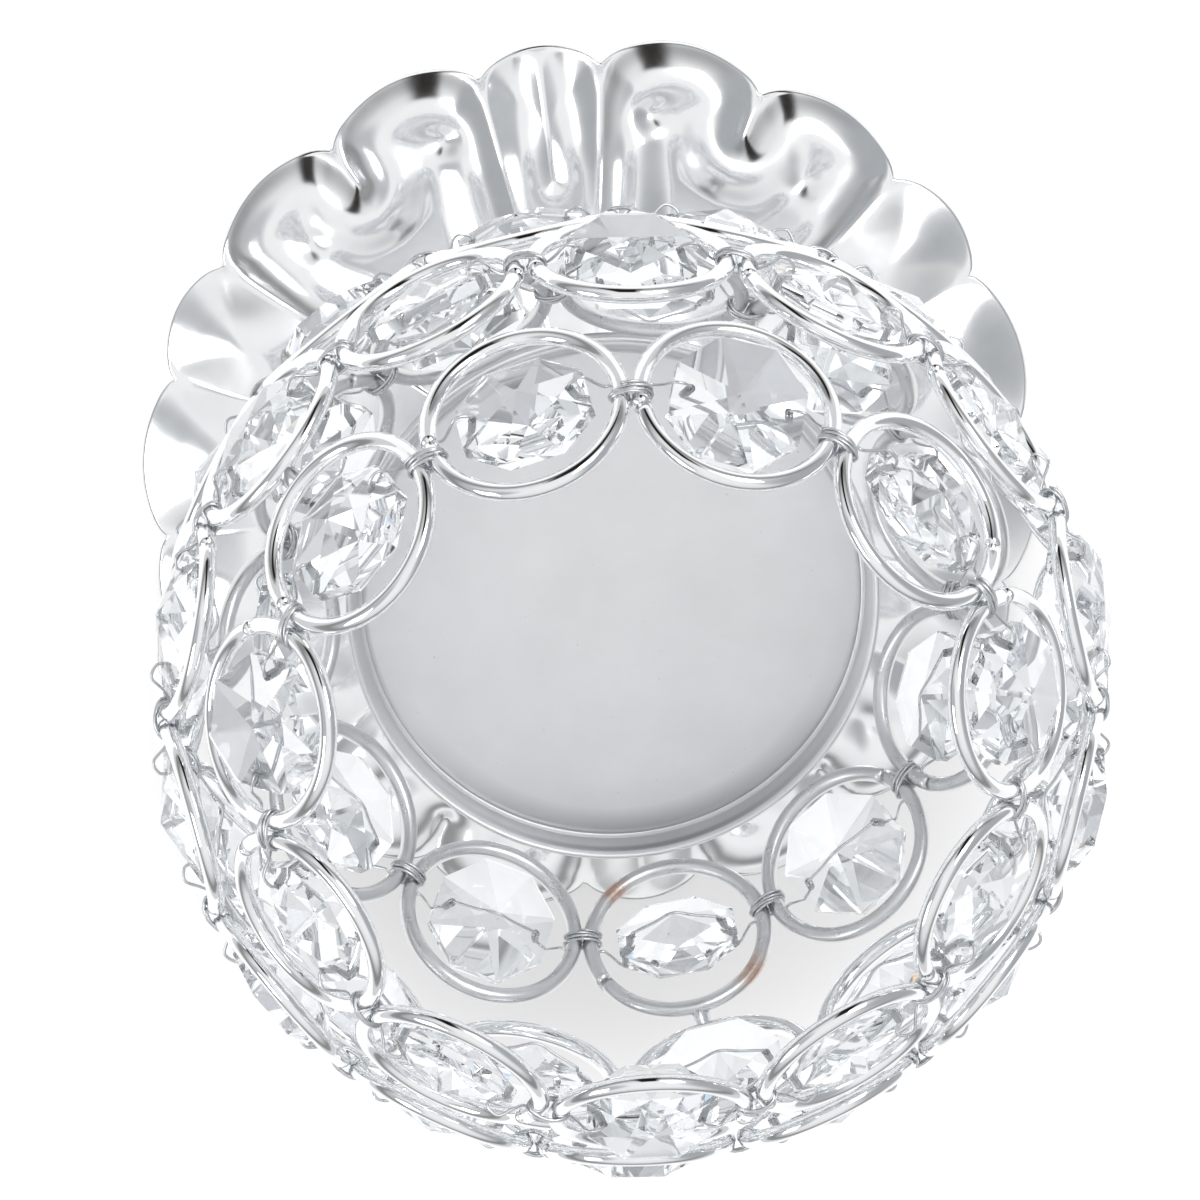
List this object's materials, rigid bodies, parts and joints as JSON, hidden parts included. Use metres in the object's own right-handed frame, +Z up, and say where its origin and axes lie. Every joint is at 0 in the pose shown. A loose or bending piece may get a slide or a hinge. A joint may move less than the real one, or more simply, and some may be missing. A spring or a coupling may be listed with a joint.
{
  "type": "candlestick",
  "caption": "Candlestick with an open globe of wire rings hung with crystal beads round a flat candle pan, on a turned stem and a scalloped stamped tray.",
  "frame": {"origin": "middle of the tray's underside, on the surface that it stands on", "axes": "+Z up the stem, -Y towards the tray's front fan"},
  "size_m": [0.1144, 0.1138, 0.1443],
  "materials": {
    "chrome": "polished",
    "satin_sheet": "satin",
    "zinc_steel": "zinc plated",
    "crystal": "cut and polished"
  },
  "bodies": {
    "stand": {"base_tray": "chrome", "base_washer": "zinc_steel", "base_nut": "zinc_steel", "stem_rod": "zinc_steel", "stem_foot": "chrome", "stem_column": "chrome", "stem_cup": "chrome", "pan_socket": "zinc_steel", "candle_pan": "satin_sheet", "pan_ring_row": "chrome", "lower_ring_row": "chrome", "upper_ring_row": "chrome", "mouth_ring_row": "chrome"},
    "lower_crystal_01": {"lower_crystal_01": "crystal"},
    "lower_crystal_02": {"lower_crystal_02": "crystal"},
    "lower_crystal_03": {"lower_crystal_03": "crystal"},
    "lower_crystal_04": {"lower_crystal_04": "crystal"},
    "lower_crystal_05": {"lower_crystal_05": "crystal"},
    "lower_crystal_06": {"lower_crystal_06": "crystal"},
    "lower_crystal_07": {"lower_crystal_07": "crystal"},
    "lower_crystal_08": {"lower_crystal_08": "crystal"},
    "lower_crystal_09": {"lower_crystal_09": "crystal"},
    "lower_crystal_10": {"lower_crystal_10": "crystal"},
    "lower_crystal_11": {"lower_crystal_11": "crystal"},
    "lower_crystal_12": {"lower_crystal_12": "crystal"},
    "lower_crystal_13": {"lower_crystal_13": "crystal"},
    "lower_crystal_14": {"lower_crystal_14": "crystal"},
    "upper_crystal_01": {"upper_crystal_01": "crystal"},
    "upper_crystal_02": {"upper_crystal_02": "crystal"},
    "upper_crystal_03": {"upper_crystal_03": "crystal"},
    "upper_crystal_04": {"upper_crystal_04": "crystal"},
    "upper_crystal_05": {"upper_crystal_05": "crystal"},
    "upper_crystal_06": {"upper_crystal_06": "crystal"},
    "upper_crystal_07": {"upper_crystal_07": "crystal"},
    "upper_crystal_08": {"upper_crystal_08": "crystal"},
    "upper_crystal_09": {"upper_crystal_09": "crystal"},
    "upper_crystal_10": {"upper_crystal_10": "crystal"},
    "upper_crystal_11": {"upper_crystal_11": "crystal"},
    "upper_crystal_12": {"upper_crystal_12": "crystal"},
    "upper_crystal_13": {"upper_crystal_13": "crystal"},
    "upper_crystal_14": {"upper_crystal_14": "crystal"},
    "mouth_crystal_01": {"mouth_crystal_01": "crystal"},
    "mouth_crystal_02": {"mouth_crystal_02": "crystal"},
    "mouth_crystal_03": {"mouth_crystal_03": "crystal"},
    "mouth_crystal_04": {"mouth_crystal_04": "crystal"},
    "mouth_crystal_05": {"mouth_crystal_05": "crystal"},
    "mouth_crystal_06": {"mouth_crystal_06": "crystal"},
    "mouth_crystal_07": {"mouth_crystal_07": "crystal"},
    "mouth_crystal_08": {"mouth_crystal_08": "crystal"},
    "mouth_crystal_09": {"mouth_crystal_09": "crystal"},
    "mouth_crystal_10": {"mouth_crystal_10": "crystal"},
    "mouth_crystal_11": {"mouth_crystal_11": "crystal"}
  },
  "joints": [
    {"name": "lower_crystal_01_turn", "type": "hinge", "parent": "stand", "child": "lower_crystal_01", "pos_m": [0.04681, 0.01608, 0.09483], "axis": [-0.3249, 0.9458, 0], "range_deg": [-90, 90]},
    {"name": "lower_crystal_02_turn", "type": "hinge", "parent": "stand", "child": "lower_crystal_02", "pos_m": [0.0352, 0.0348, 0.09483], "axis": [-0.703, 0.7112, 0], "range_deg": [-90, 90]},
    {"name": "lower_crystal_03_turn", "type": "hinge", "parent": "stand", "child": "lower_crystal_03", "pos_m": [0.01662, 0.04663, 0.09483], "axis": [-0.942, 0.3357, 0], "range_deg": [-90, 90]},
    {"name": "lower_crystal_04_turn", "type": "hinge", "parent": "stand", "child": "lower_crystal_04", "pos_m": [-0.00526, 0.04922, 0.09483], "axis": [-0.9943, -0.1063, 0], "range_deg": [-90, 90]},
    {"name": "lower_crystal_05_turn", "type": "hinge", "parent": "stand", "child": "lower_crystal_05", "pos_m": [-0.02609, 0.04206, 0.09483], "axis": [-0.8498, -0.5272, 0], "range_deg": [-90, 90]},
    {"name": "lower_crystal_06_turn", "type": "hinge", "parent": "stand", "child": "lower_crystal_06", "pos_m": [-0.04176, 0.02657, 0.09483], "axis": [-0.5369, -0.8437, 0], "range_deg": [-90, 90]},
    {"name": "lower_crystal_07_turn", "type": "hinge", "parent": "stand", "child": "lower_crystal_07", "pos_m": [-0.04915, 0.00582, 0.09483], "axis": [-0.1177, -0.9931, 0], "range_deg": [-90, 90]},
    {"name": "lower_crystal_08_turn", "type": "hinge", "parent": "stand", "child": "lower_crystal_08", "pos_m": [-0.04681, -0.01608, 0.09483], "axis": [0.3249, -0.9458, 0], "range_deg": [-90, 90]},
    {"name": "lower_crystal_09_turn", "type": "hinge", "parent": "stand", "child": "lower_crystal_09", "pos_m": [-0.0352, -0.0348, 0.09483], "axis": [0.703, -0.7112, 0], "range_deg": [-90, 90]},
    {"name": "lower_crystal_10_turn", "type": "hinge", "parent": "stand", "child": "lower_crystal_10", "pos_m": [-0.01662, -0.04663, 0.09483], "axis": [0.942, -0.3357, 0], "range_deg": [-90, 90]},
    {"name": "lower_crystal_11_turn", "type": "hinge", "parent": "stand", "child": "lower_crystal_11", "pos_m": [0.00526, -0.04922, 0.09483], "axis": [0.9943, 0.1063, 0], "range_deg": [-90, 90]},
    {"name": "lower_crystal_12_turn", "type": "hinge", "parent": "stand", "child": "lower_crystal_12", "pos_m": [0.02609, -0.04206, 0.09483], "axis": [0.8498, 0.5272, 0], "range_deg": [-90, 90]},
    {"name": "lower_crystal_13_turn", "type": "hinge", "parent": "stand", "child": "lower_crystal_13", "pos_m": [0.04176, -0.02657, 0.09483], "axis": [0.5369, 0.8437, 0], "range_deg": [-90, 90]},
    {"name": "lower_crystal_14_turn", "type": "hinge", "parent": "stand", "child": "lower_crystal_14", "pos_m": [0.04915, -0.00582, 0.09483], "axis": [0.1177, 0.9931, 0], "range_deg": [-90, 90]},
    {"name": "upper_crystal_01_turn", "type": "hinge", "parent": "stand", "child": "upper_crystal_01", "pos_m": [0.04922, 0.00526, 0.11487], "axis": [-0.1063, 0.9943, 0], "range_deg": [-90, 90]},
    {"name": "upper_crystal_02_turn", "type": "hinge", "parent": "stand", "child": "upper_crystal_02", "pos_m": [0.04206, 0.02609, 0.11487], "axis": [-0.5272, 0.8498, 0], "range_deg": [-90, 90]},
    {"name": "upper_crystal_03_turn", "type": "hinge", "parent": "stand", "child": "upper_crystal_03", "pos_m": [0.02657, 0.04176, 0.11487], "axis": [-0.8437, 0.5369, 0], "range_deg": [-90, 90]},
    {"name": "upper_crystal_04_turn", "type": "hinge", "parent": "stand", "child": "upper_crystal_04", "pos_m": [0.00582, 0.04915, 0.11487], "axis": [-0.9931, 0.1177, 0], "range_deg": [-90, 90]},
    {"name": "upper_crystal_05_turn", "type": "hinge", "parent": "stand", "child": "upper_crystal_05", "pos_m": [-0.01608, 0.04681, 0.11487], "axis": [-0.9458, -0.3249, 0], "range_deg": [-90, 90]},
    {"name": "upper_crystal_06_turn", "type": "hinge", "parent": "stand", "child": "upper_crystal_06", "pos_m": [-0.0348, 0.0352, 0.11487], "axis": [-0.7112, -0.703, 0], "range_deg": [-90, 90]},
    {"name": "upper_crystal_07_turn", "type": "hinge", "parent": "stand", "child": "upper_crystal_07", "pos_m": [-0.04663, 0.01662, 0.11487], "axis": [-0.3357, -0.942, 0], "range_deg": [-90, 90]},
    {"name": "upper_crystal_08_turn", "type": "hinge", "parent": "stand", "child": "upper_crystal_08", "pos_m": [-0.04922, -0.00526, 0.11487], "axis": [0.1063, -0.9943, 0], "range_deg": [-90, 90]},
    {"name": "upper_crystal_09_turn", "type": "hinge", "parent": "stand", "child": "upper_crystal_09", "pos_m": [-0.04206, -0.02609, 0.11487], "axis": [0.5272, -0.8498, 0], "range_deg": [-90, 90]},
    {"name": "upper_crystal_10_turn", "type": "hinge", "parent": "stand", "child": "upper_crystal_10", "pos_m": [-0.02657, -0.04176, 0.11487], "axis": [0.8437, -0.5369, 0], "range_deg": [-90, 90]},
    {"name": "upper_crystal_11_turn", "type": "hinge", "parent": "stand", "child": "upper_crystal_11", "pos_m": [-0.00582, -0.04915, 0.11487], "axis": [0.9931, -0.1177, 0], "range_deg": [-90, 90]},
    {"name": "upper_crystal_12_turn", "type": "hinge", "parent": "stand", "child": "upper_crystal_12", "pos_m": [0.01608, -0.04681, 0.11487], "axis": [0.9458, 0.3249, 0], "range_deg": [-90, 90]},
    {"name": "upper_crystal_13_turn", "type": "hinge", "parent": "stand", "child": "upper_crystal_13", "pos_m": [0.0348, -0.0352, 0.11487], "axis": [0.7112, 0.703, 0], "range_deg": [-90, 90]},
    {"name": "upper_crystal_14_turn", "type": "hinge", "parent": "stand", "child": "upper_crystal_14", "pos_m": [0.04663, -0.01662, 0.11487], "axis": [0.3357, 0.942, 0], "range_deg": [-90, 90]},
    {"name": "mouth_crystal_01_turn", "type": "hinge", "parent": "stand", "child": "mouth_crystal_01", "pos_m": [0.03692, 0.01286, 0.13469], "axis": [-0.3289, 0.9444, 0], "range_deg": [-90, 90]},
    {"name": "mouth_crystal_02_turn", "type": "hinge", "parent": "stand", "child": "mouth_crystal_02", "pos_m": [0.02411, 0.03078, 0.13469], "axis": [-0.7872, 0.6167, 0], "range_deg": [-90, 90]},
    {"name": "mouth_crystal_03_turn", "type": "hinge", "parent": "stand", "child": "mouth_crystal_03", "pos_m": [0.00364, 0.03892, 0.13469], "axis": [-0.9957, 0.0932, 0], "range_deg": [-90, 90]},
    {"name": "mouth_crystal_04_turn", "type": "hinge", "parent": "stand", "child": "mouth_crystal_04", "pos_m": [-0.01798, 0.03471, 0.13469], "axis": [-0.888, -0.4599, 0], "range_deg": [-90, 90]},
    {"name": "mouth_crystal_05_turn", "type": "hinge", "parent": "stand", "child": "mouth_crystal_05", "pos_m": [-0.03389, 0.01948, 0.13469], "axis": [-0.4983, -0.867, 0], "range_deg": [-90, 90]},
    {"name": "mouth_crystal_06_turn", "type": "hinge", "parent": "stand", "child": "mouth_crystal_06", "pos_m": [-0.03905, -0.00193, 0.13469], "axis": [0.0495, -0.9988, 0], "range_deg": [-90, 90]},
    {"name": "mouth_crystal_07_turn", "type": "hinge", "parent": "stand", "child": "mouth_crystal_07", "pos_m": [-0.0318, -0.02274, 0.13469], "axis": [0.5816, -0.8135, 0], "range_deg": [-90, 90]},
    {"name": "mouth_crystal_08_turn", "type": "hinge", "parent": "stand", "child": "mouth_crystal_08", "pos_m": [-0.01446, -0.03632, 0.13469], "axis": [0.9291, -0.3699, 0], "range_deg": [-90, 90]},
    {"name": "mouth_crystal_09_turn", "type": "hinge", "parent": "stand", "child": "mouth_crystal_09", "pos_m": [0.00747, -0.03837, 0.13469], "axis": [0.9816, 0.1911, 0], "range_deg": [-90, 90]},
    {"name": "mouth_crystal_10_turn", "type": "hinge", "parent": "stand", "child": "mouth_crystal_10", "pos_m": [0.02703, -0.02824, 0.13469], "axis": [0.7224, 0.6915, 0], "range_deg": [-90, 90]},
    {"name": "mouth_crystal_11_turn", "type": "hinge", "parent": "stand", "child": "mouth_crystal_11", "pos_m": [0.03801, -0.00914, 0.13469], "axis": [0.2339, 0.9723, 0], "range_deg": [-90, 90]}
  ]
}
